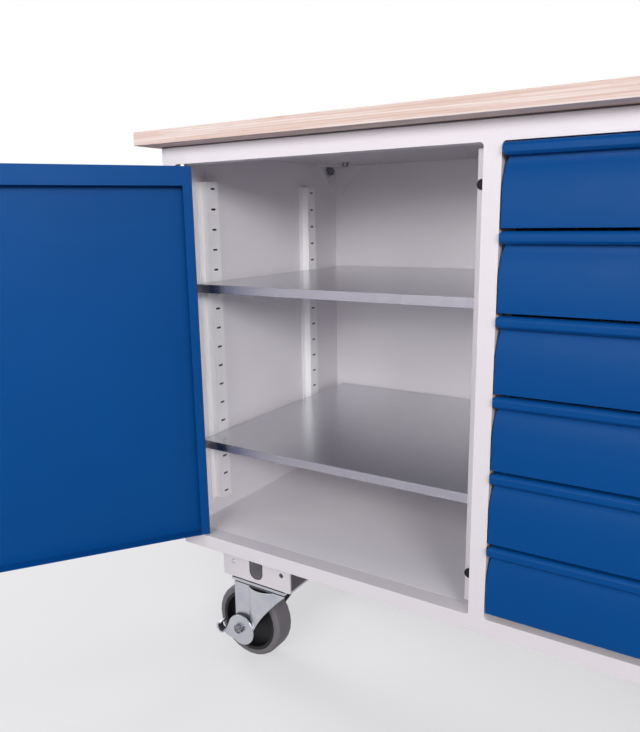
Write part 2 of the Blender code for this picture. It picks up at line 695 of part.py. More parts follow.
def brake_lever(tag, pivot, front, zinc):
    """A flat lever on the axle with a rolled foot rest at its end."""
    slope = math.degrees(math.atan2(LEVER_FALL, LEVER_REACH))
    roll = Vector((-LEVER_REACH, 0, -LEVER_FALL))
    outline = (arc((0, 0), LEVER_R, -90 + slope, 90 + slope, 2 * ARC_STEPS)
               + arc((roll.x, roll.z), LEVER_ROLL_R, 90 + slope, 270 + slope))
    lever = piece(f"brake_lever_{tag}", plate(outline, front, LEVER_T), zinc, pivot)
    cut(lever, rod((0, front - LEVER_T, 0), (0, front + 2 * LEVER_T, 0), AXLE_R + GAP, SMALL_ROUND))
    join(lever, moved(rod((0, front - LEVER_ROLL_L, 0), (0, front + LEVER_T / 2, 0), LEVER_ROLL_R + GAP,
                          SMALL_ROUND), roll))
    cut(lever, moved(rod((0, front - 2 * LEVER_ROLL_L, 0), (0, front + 2 * LEVER_T, 0), LEVER_ROLL_BORE,
                         SMALL_ROUND), roll))


def swivel_castor(tag, middle, zinc, grey_rubber, black):
    """A braked castor: top plate with its kingpin, swivelling fork, wheel, axle and brake lever."""
    x, y = middle
    top = BRACKET_LOW - GAP
    swivel = axis_point(f"swivel_axis_{tag}", (x, y, top))
    under = -SEAT_H - PLATE_T
    flat = box((-PLATE_L / 2, -PLATE_W / 2, under), (PLATE_L / 2, PLATE_W / 2, -SEAT_H))
    base = piece(f"castor_plate_{tag}", flat, zinc)
    base.location = swivel.location
    seat = join(base, box((-SEAT_L / 2, -SEAT_W / 2, -SEAT_H - PLATE_T / 2), (SEAT_L / 2, SEAT_W / 2, 0)))
    seat.location = swivel.location
    crown = under - RACE_H - GAP
    nut_top = crown - FORK_T - GAP
    inside = under + PLATE_T / 2
    nut_low = nut_top - KING_NUT_H
    for low, high, radius in ((crown + GAP, inside, RACE_R), (nut_low + GAP, inside, KING_R),
                              (nut_low, nut_top, KING_NUT_R)):
        stud = join(base, rod((0, 0, low), (0, 0, high), radius, SMALL_ROUND))
        stud.location = swivel.location
    axle = Vector((-TRAIL, 0, WHEEL_R - CASTOR_H))
    outline = swivel_outline(crown, axle)
    fork, ends, low = pressed_fork(f"castor_fork_{tag}", outline, crown, zinc, swivel)
    join(fork, rod((0, 0, low - FORK_T), (0, 0, crown - FORK_BULGE_DOWN), FORK_BULGE_R))
    hollow = crown - FORK_T - FORK_BULGE_DOWN
    cut(fork, rod((0, 0, low - 2 * FORK_T), (0, 0, hollow), FORK_BULGE_R - FORK_T))
    trim_fork(fork, outline, ends, low, crown)
    cut(fork, rod((0, 0, crown - 2 * FORK_T), (0, 0, crown + FORK_T), KING_R + GAP, SMALL_ROUND))
    outer = FORK_IN + FORK_T
    cut(fork, moved(rod((0, -2 * outer, 0), (0, 2 * outer, 0), AXLE_R + GAP, SMALL_ROUND), axle))
    lever_front = -outer - LEVER_STANDOFF - LEVER_T
    bolt = axle_bolt(f"castor_axle_{tag}", swivel, axle, -lever_front + GAP, zinc)
    spacer = rod((0, -outer - GAP, 0), (0, GAP - outer - LEVER_STANDOFF, 0), SPACER_R, SMALL_ROUND)
    join(bolt, moved(spacer, axle))
    wheel(tag, swivel, axle, grey_rubber, black)
    pivot = axis_point(f"brake_axis_{tag}", axle)
    pivot.parent = swivel
    brake_lever(tag, pivot, lever_front, zinc)


def fixed_castor(tag, middle, zinc, grey_rubber, black):
    """A castor whose fork is pressed from its plate and doesn't swivel."""
    x, y = middle
    top = BRACKET_LOW - GAP
    carrier = axis_point(f"castor_place_{tag}", (x, y, top))
    axle = Vector((0, 0, WHEEL_R - CASTOR_H))
    reach = PLATE_L / 2
    under = -SEAT_H - PLATE_T
    outline = [(-reach, 0), (reach, 0)] + arc((axle.x, axle.z), FIXED_LEG_W / 2, 20, -200, 2 * ARC_STEPS)
    fork, ends, low = pressed_fork(f"castor_fork_{tag}", outline, under + PLATE_T / 2, zinc, carrier)
    trim_fork(fork, outline, ends, low, under + PLATE_T / 2)
    join(fork, box((-reach - GAP, -PLATE_W / 2, under), (reach + GAP, PLATE_W / 2, -SEAT_H)))
    join(fork, box((-SEAT_L / 2, -SEAT_W / 2, -SEAT_H - PLATE_T / 4), (SEAT_L / 2, SEAT_W / 2, 0)))
    outer = FORK_IN + FORK_T
    cut(fork, moved(rod((0, -2 * outer, 0), (0, 2 * outer, 0), AXLE_R + GAP, SMALL_ROUND), axle))
    axle_bolt(f"castor_axle_{tag}", carrier, axle, outer + GAP, zinc)
    wheel(tag, carrier, axle, grey_rubber, black)


def build():
    clear_scene()
    grey = finish("light_grey_powder_coat", "#E3E1E4", 0.45, 0.0)
    blue = finish("blue_powder_coat", "#1F4C8C", 0.42, 0.0)
    galvanised = finish("galvanised_sheet", "#A9A9AF", 0.35, 1.0)
    zinc = finish("zinc_plated_steel", "#C3C4CA", 0.35, 1.0)
    wood = finish("beech_plywood", "#E2C5B2", 0.55, 0.0)
    grey_rubber = finish("grey_rubber", "#6E6C70", 0.75, 0.0)
    black = finish("black_plastic", "#17171B", 0.45, 0.0)
    rubber = finish("black_rubber", "#121214", 0.7, 0.0)
    cabinet(grey)
    worktop(wood)
    corner_bracket("corner_bracket_left", INNER_LEFT, 1, grey)
    corner_bracket("corner_bracket_right", PARTITION - SHEET / 2 - GAP, -1, grey)
    shelves(grey, galvanised)
    door(blue, zinc, rubber, black)
    drawers(blue, grey)
    runner_rack("runner_rack_left", PARTITION + SHEET / 2 + GAP, DRAWERS_LEFT, 1, galvanised)
    runner_rack("runner_rack_right", INNER_RIGHT, DRAWERS_RIGHT, -1, galvanised)
    swivel_x = LEFT + BRACKET_SIDE + BRACKET_L / 2
    inset = BRACKET_SET + BRACKET_W / 2
    for place, y in (("front", FRONT + inset), ("rear", BACK - inset)):
        castor_bracket(f"castor_bracket_{place}_left", (swivel_x, y), grey)
        swivel_castor(f"{place}_left", (swivel_x, y), zinc, grey_rubber, black)
        castor_bracket(f"castor_bracket_{place}_right", (-swivel_x, y), grey)
        fixed_castor(f"{place}_right", (-swivel_x, y), zinc, grey_rubber, black)


build()
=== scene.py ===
import json
import math

import bmesh
import bpy
from mathutils import Matrix, Vector

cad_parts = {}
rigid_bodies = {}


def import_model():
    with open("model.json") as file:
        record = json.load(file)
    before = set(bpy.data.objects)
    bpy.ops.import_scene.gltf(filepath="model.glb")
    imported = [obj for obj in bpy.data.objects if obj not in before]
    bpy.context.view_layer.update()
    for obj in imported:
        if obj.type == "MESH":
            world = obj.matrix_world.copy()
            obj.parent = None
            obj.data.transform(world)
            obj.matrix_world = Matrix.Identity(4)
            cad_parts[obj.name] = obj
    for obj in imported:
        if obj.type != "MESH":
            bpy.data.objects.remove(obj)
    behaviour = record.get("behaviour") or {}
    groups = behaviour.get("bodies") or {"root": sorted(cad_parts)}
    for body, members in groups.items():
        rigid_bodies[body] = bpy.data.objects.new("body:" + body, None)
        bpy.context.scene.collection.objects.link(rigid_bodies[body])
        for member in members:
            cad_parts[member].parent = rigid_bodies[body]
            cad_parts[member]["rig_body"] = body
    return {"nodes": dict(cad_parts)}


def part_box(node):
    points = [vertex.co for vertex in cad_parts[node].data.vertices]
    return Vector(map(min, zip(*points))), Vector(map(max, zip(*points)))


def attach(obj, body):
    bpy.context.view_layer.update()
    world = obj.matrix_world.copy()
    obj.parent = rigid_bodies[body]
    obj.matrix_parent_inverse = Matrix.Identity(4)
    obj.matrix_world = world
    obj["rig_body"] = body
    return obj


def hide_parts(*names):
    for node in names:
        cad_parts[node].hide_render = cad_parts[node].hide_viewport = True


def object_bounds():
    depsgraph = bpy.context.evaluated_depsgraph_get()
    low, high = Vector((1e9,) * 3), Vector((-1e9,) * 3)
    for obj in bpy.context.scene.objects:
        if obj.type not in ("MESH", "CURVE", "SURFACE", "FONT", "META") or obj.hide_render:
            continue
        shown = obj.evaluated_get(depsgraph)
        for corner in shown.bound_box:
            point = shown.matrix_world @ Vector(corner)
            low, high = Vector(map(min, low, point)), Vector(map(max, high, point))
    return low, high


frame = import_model()
solid_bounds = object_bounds()


# Cabinet shell: side walls, back, floor, roof and the partition beside the drawers.
# Each is a steel sheet about 1.5 mm thick, folded and spot welded, then powder coated light grey.

def linear(hex_colour):
    """An sRGB hex colour as the linear colour that a shader takes."""
    parts = [int(hex_colour[i:i + 2], 16) / 255 for i in (1, 3, 5)]
    return (*[c / 12.92 if c <= 0.04045 else ((c + 0.055) / 1.055) ** 2.4 for c in parts], 1)


def add(tree, kind, inputs=(), **settings):
    """Adds a node to a tree: its settings, and each input's value or the output that feeds it.

    A Mix node of colours takes them at 6 and 7 and gives its colour at 2."""
    made = tree.nodes.new("ShaderNode" + kind)
    for name, value in settings.items():
        setattr(made, name, value)
    for name, value in dict(inputs).items():
        if isinstance(value, bpy.types.NodeSocket):
            tree.links.new(value, made.inputs[name])
        else:
            made.inputs[name].default_value = value
    return made


def blank(name):
    """A new material whose node tree is still empty, and that tree."""
    material = bpy.data.materials.new(name)
    material.use_nodes = True
    material.node_tree.nodes.clear()
    return material, material.node_tree


def powder_coat(name, colour, shade, roughness, shine):
    """Baked powder paint: an even film with soft cloudiness, a faint orange peel and a satin gloss."""
    cloud_size = 0.140
    gloss_patch = 0.025
    gloss_swing = 0.05
    # the real orange peel has waves of about 2 mm, which are drawn 5 mm long so that they show
    peel_wave = 0.005
    peel_height = 0.0003
    material, tree = blank(name)
    place = add(tree, "TexCoord").outputs["Object"]
    clouds = add(tree, "TexNoise", {"Vector": place, "Scale": 1 / cloud_size, "Detail": 3}).outputs["Fac"]
    tint = add(tree, "Mix", {0: clouds, 6: linear(shade), 7: linear(colour)}, data_type="RGBA")
    patches = add(tree, "TexNoise", {"Vector": place, "Scale": 1 / gloss_patch, "Detail": 2}).outputs["Fac"]
    gloss = add(tree, "MapRange", {"Value": patches, "To Min": roughness - gloss_swing,
                                   "To Max": roughness + gloss_swing})
    peel = add(tree, "TexNoise", {"Vector": place, "Scale": 1 / peel_wave, "Detail": 1}).outputs["Fac"]
    waves = add(tree, "Bump", {"Height": peel, "Strength": 0.12, "Distance": peel_height})
    film = add(tree, "BsdfPrincipled", {"Base Color": tint.outputs[2], "Roughness": gloss.outputs[0],
                                        "Normal": waves.outputs[0], "IOR": 1.5,
                                        "Specular IOR Level": shine})
    add(tree, "OutputMaterial", {"Surface": film.outputs[0]})
    return material


def dress(material, *names):
    """Gives solids of the frame their finish."""
    for name in names:
        for slot in frame["nodes"][name].material_slots:
            slot.material = material


# light grey powder coat: reads as a clean off-white with a soft sheen, and only slightly cloudy; it is the
# lighter of two copies of one grey, and its extra lightness is painted light for the cupboard's shaded
# inside
grey_coat = powder_coat("light_grey_powder_coat", "#f5f0f5", "#efeaef", roughness=0.42, shine=0.4)
dress(grey_coat, "left_side_panel", "right_side_panel", "back_panel", "base_panel", "partition_panel")
# painted shade: the roof's underside takes a greyer copy of the coat, for the shade under the worktop in
# the cupboard
shaded_grey_coat = powder_coat("shaded_grey_powder_coat", "#d6d0d6", "#cec8ce", roughness=0.48, shine=0.35)
dress(shaded_grey_coat, "top_panel")


# Front frame: stiles and rails cut from one steel sheet, with rims rolled in round the two openings.
# Its folds leave small round edges that catch the light, and it takes the shell's grey in a darker copy.

def pick(piece, parts, test):
    """In edit mode, selects the edges or faces of a piece that pass a test, and no others."""
    bpy.ops.mesh.select_all(action="DESELECT")
    work = bmesh.from_edit_mesh(piece.data)
    for part in getattr(work, parts):
        part.select_set(test(part))
    bmesh.update_edit_mesh(piece.data)


def eased(node, material, radius, sharp=35, drills=(), fold=None):
    """A copy of a solid, drilled and with its sharp edges eased to a radius, which stands for the solid.

    Edges of more than sharp degrees are eased. fold is a test that picks the points of one edge, and the
    larger radius that this edge is folded to."""
    same_point = 0.000002
    fold_clean = 0.00002
    flat_angle = math.radians(0.3)
    sharp_angle = math.radians(sharp)
    solid = frame["nodes"][node]
    copy = bpy.data.objects.new(node + "_eased", solid.data.copy())
    bpy.context.scene.collection.objects.link(copy)
    bpy.ops.object.select_all(action="DESELECT")
    copy.select_set(True)
    bpy.context.view_layer.objects.active = copy
    bpy.ops.mesh.customdata_custom_splitnormals_clear()
    # the solid's triangles are loose, so they are joined at their corners
    bpy.ops.object.mode_set(mode="EDIT")
    bpy.ops.mesh.select_mode(type="EDGE")
    bpy.ops.mesh.select_all(action="SELECT")
    bpy.ops.mesh.remove_doubles(threshold=same_point)
    bpy.ops.object.mode_set(mode="OBJECT")
    for drill in drills:
        hole = copy.modifiers.new("hole", "BOOLEAN")
        hole.object = drill
        bpy.ops.object.modifier_apply(modifier=hole.name)
        bpy.data.objects.remove(drill)
    # the triangles of a flat face become one face
    bpy.ops.object.mode_set(mode="EDIT")
    bpy.ops.mesh.select_all(action="SELECT")
    bpy.ops.mesh.dissolve_limited(angle_limit=flat_angle)
    if fold:
        on_edge, fold_width = fold
        pick(copy, "edges", lambda edge: all(on_edge(end.co) for end in edge.verts))
        bpy.ops.mesh.bevel(offset=fold_width, segments=4)
        # a fold wider than the sheet leaves doubled points at the sheet's back
        bpy.ops.mesh.select_all(action="SELECT")
        bpy.ops.mesh.remove_doubles(threshold=fold_clean)
        bpy.ops.mesh.dissolve_degenerate(threshold=fold_clean)
    if radius:
        bpy.ops.mesh.select_all(action="DESELECT")
        bpy.ops.mesh.edges_select_sharp(sharpness=sharp_angle)
        bpy.ops.mesh.bevel(offset=radius, segments=2, clamp_overlap=True)
    # eased edges that run together can leave faces without any area
    bpy.ops.mesh.select_all(action="SELECT")
    bpy.ops.mesh.dissolve_degenerate(threshold=same_point)
    bpy.ops.object.mode_set(mode="OBJECT")
    bpy.ops.object.shade_smooth_by_angle(angle=sharp_angle)
    weighted = copy.modifiers.new("flat_faces_stay_flat", "WEIGHTED_NORMAL")
    weighted.keep_sharp = True
    bpy.ops.object.modifier_apply(modifier=weighted.name)
    copy.data.materials.clear()
    copy.data.materials.append(material)
    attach(copy, solid["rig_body"])
    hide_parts(node)
    return copy


def on_top_edge(point):
    """True for the points of the front frame's upper front edge."""
    return point.y < frame_low[1] + edge_reach and point.z > frame_high[2] - edge_reach


# painted light: the outer faces take a darker copy of the shell's grey, since they are lit more strongly
# than the inside
front_shaded_coat = powder_coat("light_grey_front_shaded_coat", "#e5dfe4", "#dfd9de", roughness=0.42, shine=0.4)
# painted shade: a dark, dull copy of the grey coat, put in a groove and inside a folded section where shade
# falls
painted_shade_coat = powder_coat("painted_shade_grey_coat", "#8b888d", "#7f7c81", roughness=0.55, shine=0.3)
# the top rail is folded back under the worktop, and the groove left between them takes the painted shade
fold_radius = 0.0028
edge_reach = 0.0002
groove_slope = 0.3
frame_low, frame_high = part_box("front_frame")
front_frame = eased("front_frame", front_shaded_coat, radius=0.0007, fold=(on_top_edge, fold_radius))
front_frame.data.materials.append(painted_shade_coat)
for face in front_frame.data.polygons:
    in_groove = (face.normal.z > groove_slope and face.center.z > frame_high[2] - fold_radius
                 and face.center.y < frame_low[1] + fold_radius)
    face.material_index = 1 if in_groove else 0


# Corner brackets: three-way pressings in the cupboard's upper rear corners.
# Each is 2 mm steel under the grey coat, held to the wall by one dark bolt with a nut and a washer.

def zinc_plating():
    """Bright zinc plating on pressed steel: a cool, slightly cloudy shine, bluish in places."""
    # clouds from the passivation bath
    cloud_size = 0.030
    # press and tumbling marks are finer, and are drawn 1.5 mm apart so that they show
    mark_size = 0.0015
    mark_height = 0.0001
    material, tree = blank("bright_zinc_plating")
    place = add(tree, "TexCoord").outputs["Object"]
    clouds = add(tree, "TexNoise", {"Vector": place, "Scale": 1 / cloud_size, "Detail": 2}).outputs["Fac"]
    tint = add(tree, "Mix", {0: clouds, 6: linear("#b3b9c6"), 7: linear("#d8d6d8")}, data_type="RGBA")
    gloss = add(tree, "MapRange", {"Value": clouds, "To Min": 0.24, "To Max": 0.38})
    marks = add(tree, "TexNoise", {"Vector": place, "Scale": 1 / mark_size, "Detail": 1}).outputs["Fac"]
    grain = add(tree, "Bump", {"Height": marks, "Strength": 0.08, "Distance": mark_height})
    plating = add(tree, "BsdfPrincipled", {"Base Color": tint.outputs[2], "Metallic": 1,
                                           "Roughness": gloss.outputs[0], "Normal": grain.outputs[0]})
    add(tree, "OutputMaterial", {"Surface": plating.outputs[0]})
    return material


def bolt_steel_finish():
    """Oiled bolt steel: a mid grey metal, whose dark and bright spots at random are painted shade and
    painted highlights.
    """
    spot_size = 0.003
    material, tree = blank("oiled_bolt_steel")
    place = add(tree, "TexCoord").outputs["Object"]
    # painted shade and painted highlights: these random spots stand in for the shading on the nuts
    worn = add(tree, "TexNoise", {"Vector": place, "Scale": 1 / spot_size, "Detail": 3}).outputs["Fac"]
    spread = add(tree, "MapRange", {"Value": worn, "From Min": 0.40, "From Max": 0.66}).outputs[0]
    tint = add(tree, "Mix", {0: spread, 6: linear("#55565b"), 7: linear("#a9aaaf")}, data_type="RGBA")
    gloss = add(tree, "MapRange", {"Value": worn, "To Min": 0.20, "To Max": 0.40})
    steel = add(tree, "BsdfPrincipled", {"Base Color": tint.outputs[2], "Metallic": 1,
                                         "Roughness": gloss.outputs[0]})
    add(tree, "OutputMaterial", {"Surface": steel.outputs[0]})
    return material


def nut_on_washer():
    """A nut 10 mm across its flats on a bright washer, with the bolt's end standing out of it."""
    washer_radius = 0.0082
    washer_height = 0.0014
    # each has its number of sides, its radius, and the heights of its foot and its end
    nut_body = (6, 0.0058, 0.0012, 0.0079)
    bolt_end = (24, 0.0030, 0.0069, 0.0099)
    steel_from = 0.0015
    chamfer = 0.0004
    sharp_angle = math.radians(40)
    bpy.ops.object.select_all(action="DESELECT")
    bpy.ops.mesh.primitive_cylinder_add(vertices=32, radius=washer_radius, depth=washer_height,
                                        location=(0, 0, washer_height / 2))
    fixing = bpy.context.object
    bpy.ops.object.transform_apply(location=True, rotation=True, scale=True)
    bpy.ops.object.mode_set(mode="EDIT")
    bpy.ops.mesh.select_mode(type="EDGE")
    for sides, radius, foot, end in (nut_body, bolt_end):
        bpy.ops.mesh.primitive_cylinder_add(vertices=sides, radius=radius, depth=end - foot,
                                            location=(0, 0, (foot + end) / 2))
    bpy.ops.mesh.select_all(action="DESELECT")
    bpy.ops.mesh.edges_select_sharp(sharpness=sharp_angle)
    bpy.ops.mesh.bevel(offset=chamfer, segments=2, clamp_overlap=True)
    bpy.ops.object.mode_set(mode="OBJECT")
    bpy.ops.object.shade_smooth_by_angle(angle=sharp_angle)
    fixing.data.materials.append(zinc)
    fixing.data.materials.append(bolt_steel)
    for face in fixing.data.polygons:
        face.material_index = 1 if face.center.z > steel_from else 0
    return fixing


def seated(model, name, seat, out, size=1):
    """A copy of a small fixing, with its own mesh, set on the cabinet and pointing out of its surface."""
    piece = bpy.data.objects.new(name, model.data.copy())
    bpy.context.scene.collection.objects.link(piece)
    turned = Vector(out).to_track_quat("Z", "Y")
    piece.data.transform(Matrix.LocRotScale(Vector(seat), turned, Vector((size, size, size))))
    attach(piece, "bench")


bolt_steel = bolt_steel_finish()
zinc = zinc_plating()
nut = nut_on_washer()
corner_sheet = 0.002
# the nut goes over the plain one of the solid
nut_from_back = 0.030
nut_from_top = 0.0105
corner_nut_size = 1.25
for side, inward in (("left", 1), ("right", -1)):
    eased(f"corner_bracket_{side}", grey_coat, radius=0.0004)
    low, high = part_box(f"corner_bracket_{side}")
    wall = low[0] if inward > 0 else high[0]
    seat = (wall + inward * corner_sheet, high[1] - nut_from_back, high[2] - nut_from_top)
    seated(nut, f"corner_nut_{side}", seat, (inward, 0, 0), corner_nut_size)


# Shelf standards: hat-section uprights screwed to the walls, slotted every 30 mm for the shelf clips.
# They are bought ready coated, and their slots are punched with sharp edges.

# white powder coat: a step whiter than the cabinet's grey, so that the uprights stand out from the walls
white_coat = powder_coat("white_powder_coat", "#fefcfe", "#faf8fa", roughness=0.42, shine=0.4)
# the section is 13.5 mm deep and 24 mm wide; nearer than this to the wall and to its middle is its inside
inside_depth = 0.0128
inside_half = 0.0112
for side, inward in (("left", 1), ("right", -1)):
    for place in ("front", "rear"):
        standard = eased(f"shelf_standard_{side}_{place}", white_coat, radius=0.0002)
        low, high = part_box(f"shelf_standard_{side}_{place}")
        wall = low[0] if inward > 0 else high[0]
        middle = (low[1] + high[1]) / 2
        # painted shade: the section's inside and the walls of its slots take the dark coat, for the shade
        # that makes the slots read dark
        standard.data.materials.append(painted_shade_coat)
        for face in standard.data.polygons:
            off_wall = (face.center.x - wall) * inward
            within = off_wall < inside_depth and abs(face.center.y - middle) < inside_half
            face.material_index = 1 if within else 0


# Shelves: galvanised sheet with the edges folded down, lying loose on the clips.
# The bare zinc shows the walls and standards as soft streaks.

def galvanised_sheet(name, dark, light, roughness):
    """Hot-dip galvanised sheet: a grey metal with faint crystal patches and rolling marks."""
    crystal_size = 0.014
    # rolling marks run from side to side, and are drawn 3 mm wide where real ones are under 1 mm
    mark_length = 0.300
    mark_width = 0.003
    mark_height = 0.0002
    gloss_swing = 0.04
    material, tree = blank(name)
    place = add(tree, "TexCoord").outputs["Object"]
    spangle = add(tree, "TexVoronoi", {"Vector": place, "Scale": 1 / crystal_size}).outputs["Color"]
    run = add(tree, "Mapping", {"Vector": place,
                                "Scale": (1 / mark_length, 1 / mark_width, 1 / mark_width)})
    marks = add(tree, "TexNoise", {"Vector": run.outputs[0], "Scale": 1, "Detail": 2}).outputs["Fac"]
    mixed = add(tree, "Mix", {0: 0.5, 2: spangle, 3: marks}, data_type="FLOAT").outputs[0]
    tint = add(tree, "Mix", {0: mixed, 6: linear(dark), 7: linear(light)}, data_type="RGBA")
    gloss = add(tree, "MapRange", {"Value": mixed, "To Min": roughness - gloss_swing,
                                   "To Max": roughness + gloss_swing})
    grain = add(tree, "Bump", {"Height": marks, "Strength": 0.03, "Distance": mark_height})
    sheet = add(tree, "BsdfPrincipled", {"Base Color": tint.outputs[2], "Metallic": 1,
                                         "Roughness": gloss.outputs[0], "Normal": grain.outputs[0]})
    add(tree, "OutputMaterial", {"Surface": sheet.outputs[0]})
    return material


galvanised = galvanised_sheet("galvanised_steel_sheet", "#c6c7cc", "#d4d5d8", roughness=0.22)
# painted shade: the folded lip takes a darker, duller copy of the sheet, which tones down the bright
# reflection it shows to the front
shaded_lip_zinc = galvanised_sheet("galvanised_steel_shaded_lip", "#a8a5b1", "#b0adb8", roughness=0.26)
lip_slope = 0.4
for level in ("upper", "lower"):
    shelf = eased(f"{level}_shelf", galvanised, radius=0.0005)
    shelf.data.materials.append(shaded_lip_zinc)
    for face in shelf.data.polygons:
        face.material_index = 1 if abs(face.normal.z) < lip_slope else 0


# Worktop: a board of beech plywood 18 mm thick, sanded and oiled, bolted down from inside the cabinet.
# Its faces show long beech grain, and its edges show the plies as fine lines.

def beech_plywood():
    """Beech plywood: pale pinkish wood, long figure on its faces and a line for every ply on its edges."""
    # bands of the peeled veneer: their length, their width on the faces and their height on the edges
    band_size = (0.350, 0.025, 0.005)
    # pores and flecks, drawn 2 mm wide where real ones are under 1 mm
    fleck_size = (0.040, 0.002, 0.002)
    fleck_depth = 0.0003
    ply_height = 0.0014
    face_veneer = 0.0008
    material, tree = blank("oiled_beech_plywood")
    place = add(tree, "TexCoord").outputs["Object"]
    band_map = add(tree, "Mapping", {"Vector": place, "Scale": [1 / size for size in band_size]})
    bands = add(tree, "TexNoise", {"Vector": band_map.outputs[0], "Scale": 1, "Detail": 4,
                                   "Distortion": 0.6}).outputs["Fac"]
    fleck_map = add(tree, "Mapping", {"Vector": place, "Scale": [1 / size for size in fleck_size]})
    flecks = add(tree, "TexNoise", {"Vector": fleck_map.outputs[0], "Scale": 1,
                                    "Detail": 2}).outputs["Fac"]
    figure = add(tree, "MapRange", {"Value": bands, "From Min": 0.40, "From Max": 0.66}).outputs[0]
    wood = add(tree, "Mix", {0: figure, 6: linear("#eadad5"), 7: linear("#d6b5a8")}, data_type="RGBA")
    fleck = add(tree, "MapRange", {"Value": flecks, "From Min": 0.58, "From Max": 0.75,
                                   "To Max": 0.6}).outputs[0]
    wood = add(tree, "Mix", {0: fleck, 6: wood.outputs[2], 7: linear("#c99a80")}, data_type="RGBA")
    # thirteen plies show on the edge as faint lines, since every second one is cut across its grain
    height = add(tree, "SeparateXYZ", {0: place}).outputs["Z"]
    ply = add(tree, "Math", {0: height, 1: 1 / ply_height}, operation="MULTIPLY").outputs[0]
    inside = add(tree, "Math", {0: height, 1: -face_veneer}, operation="LESS_THAN").outputs[0]
    stripe = add(tree, "Math", {0: ply, 1: 1.0}, operation="PINGPONG").outputs[0]
    dark = add(tree, "MapRange", {"Value": stripe, "From Min": 0.35, "From Max": 0.75,
                                  "To Max": 0.22}).outputs[0]
    edge = add(tree, "Math", {0: dark, 1: inside}, operation="MULTIPLY").outputs[0]
    wood = add(tree, "Mix", {0: edge, 6: wood.outputs[2], 7: linear("#c9a797")}, data_type="RGBA")
    grain = add(tree, "Bump", {"Height": flecks, "Strength": 0.15, "Distance": fleck_depth})
    gloss = add(tree, "MapRange", {"Value": flecks, "To Min": 0.58, "To Max": 0.74})
    oiled = add(tree, "BsdfPrincipled", {"Base Color": wood.outputs[2], "Roughness": gloss.outputs[0],
                                         "Normal": grain.outputs[0], "IOR": 1.45,
                                         "Specular IOR Level": 0.05})
    add(tree, "OutputMaterial", {"Surface": oiled.outputs[0]})
    return material


plywood = beech_plywood()
eased("worktop", plywood, radius=0)
# the board is held by bolts that come down through the cupboard's roof, each with a nut and a washer
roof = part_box("top_panel")[0][2]
nut_rows = {"front": -0.150, "rear": 0.163}
nut_columns = {"left": -0.408, "right": -0.071}
roof_nut_size = 0.9
for end, deep in nut_rows.items():
    for side, across in nut_columns.items():
        seated(nut, f"worktop_nut_{end}_{side}", (across, deep, roof), (0, 0, -1), roof_nut_size)
bpy.data.objects.remove(nut)


# Runner racks: posts with an angle runner for every drawer, screwed into the drawer bay.
# They are left in galvanised sheet, as the drawer rails would scrape paint off.
dress(galvanised, "runner_rack_left", "runner_rack_right")


# Drawers: folded boxes in the greyer, shaded copy of the coat, each with a blue front whose top edge is
# folded out as a handle lip. The front is screwed to its box, and the lip's ends are rounded.

# mid blue powder coat: deep and even, with less sheen than the grey
blue_coat = powder_coat("mid_blue_powder_coat", "#064a8c", "#054483", roughness=0.40, shine=0.08)
drawer_count = 6
for number in range(1, drawer_count + 1):
    # painted shade: the boxes take the greyer copy too, which keeps their brightly lit sides from white
    dress(shaded_grey_coat, f"drawer_box_{number}")
    eased(f"drawer_front_{number}", blue_coat, radius=0.0006)


# Door: a pan folded from blue-coated sheet, with its lips turned in at the back, on two pivot pins.
# A round turn knob at its free edge works the cam of the lock.

def moulded(name, colour, worn, grit, roughness):
    """Moulded plastic or rubber: one colour right through, a fine eroded grain and a dull skin."""
    cloud_size = 12 * grit
    grain_height = 0.0002
    gloss_swing = 0.06
    material, tree = blank(name)
    place = add(tree, "TexCoord").outputs["Object"]
    clouds = add(tree, "TexNoise", {"Vector": place, "Scale": 1 / cloud_size, "Detail": 3}).outputs["Fac"]
    tint = add(tree, "Mix", {0: clouds, 6: linear(colour), 7: linear(worn)}, data_type="RGBA")
    grain = add(tree, "TexNoise", {"Vector": place, "Scale": 1 / grit, "Detail": 1}).outputs["Fac"]
    gloss = add(tree, "MapRange", {"Value": clouds, "To Min": roughness - gloss_swing,
                                   "To Max": roughness + gloss_swing})
    skin = add(tree, "Bump", {"Height": grain, "Strength": 0.15, "Distance": grain_height})
    body = add(tree, "BsdfPrincipled", {"Base Color": tint.outputs[2], "Roughness": gloss.outputs[0],
                                        "Normal": skin.outputs[0], "IOR": 1.5,
                                        "Specular IOR Level": 0.3})
    add(tree, "OutputMaterial", {"Surface": body.outputs[0]})
    return material


# glass-filled nylon: near black, with a fine grain and a dull sheen
black_nylon = moulded("black_nylon", "#141417", "#1d1d21", grit=0.0015, roughness=0.45)
eased("door_panel", blue_coat, radius=0.0005)
for end in ("top", "bottom"):
    eased(f"hinge_pin_{end}", zinc, radius=0.0003)
eased("door_lock", black_nylon, radius=0.0006)


# Door buffers: two small rubber buttons glued to the stop flange beside the middle stile.
# They are matt black, and soften the door's closing.

# moulded rubber: a flat black without any clear highlight, also used as painted shade on the castors
black_rubber = moulded("black_rubber", "#0f0f11", "#17171a", grit=0.0012, roughness=0.7)
for end in ("top", "bottom"):
    eased(f"door_buffer_{end}", black_rubber, radius=0.0006)


# Castor brackets: folded channels of 3 mm steel screwed under the floor, coated with the front frame.
# Each has an access hole for a spanner, with a screw and a spare hole beside it, and takes one castor.

